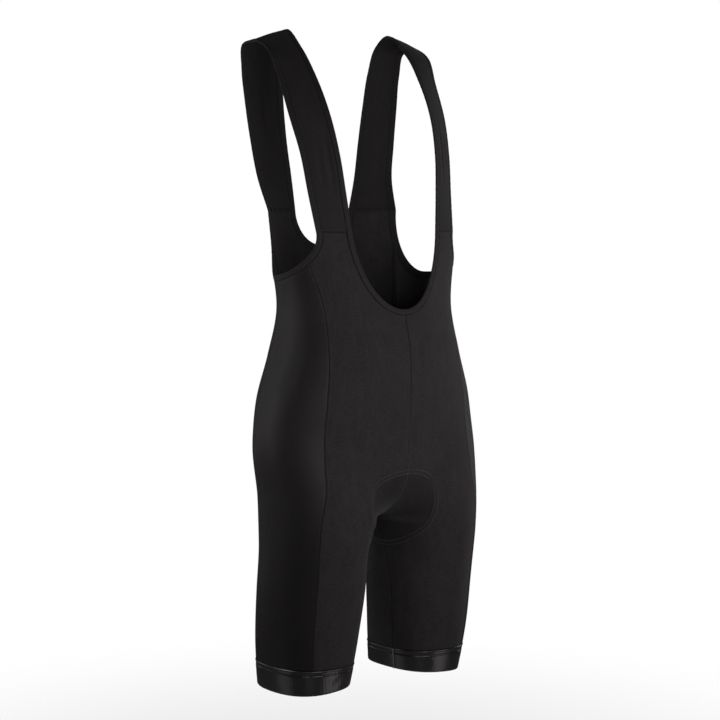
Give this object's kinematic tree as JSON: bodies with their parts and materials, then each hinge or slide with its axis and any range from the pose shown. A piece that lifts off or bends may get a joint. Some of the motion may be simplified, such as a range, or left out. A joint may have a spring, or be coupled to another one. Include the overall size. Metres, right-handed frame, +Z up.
{
  "type": "cycling bib shorts",
  "caption": "Black knitted cycling bib shorts in worn form: scooped neck, shoulder straps, side panels, stitched-in seat pad and smooth elastic leg bands.",
  "frame": {"origin": "On top of the wearer's shoulders, midway between the undersides of the two straps at their highest stretch", "axes": "+Z up, the chest faces -Y, +X is the garment's own left"},
  "size_m": [0.3366, 0.2092, 0.8661],
  "materials": {
    "knit_front": "matt fine knit with a faint heather grain",
    "knit_side": "smooth stretch knit, soft sheen",
    "knit_strap": "matt stretch knit",
    "binding": "folded knit edge",
    "leg_band": "satin elastic",
    "pad_foam": "brushed cloth over foam"
  },
  "bodies": {
    "root": {"front_left": "knit_front", "front_right": "knit_front", "back_left": "knit_front", "back_right": "knit_front", "side_left": "knit_side", "side_right": "knit_side", "strap_left": "knit_strap", "strap_right": "knit_strap", "neck_binding": "binding", "armhole_binding_left": "binding", "armhole_binding_right": "binding", "leg_band_left": "leg_band", "leg_band_right": "leg_band", "seat_pad": "pad_foam"}
  },
  "joints": []
}
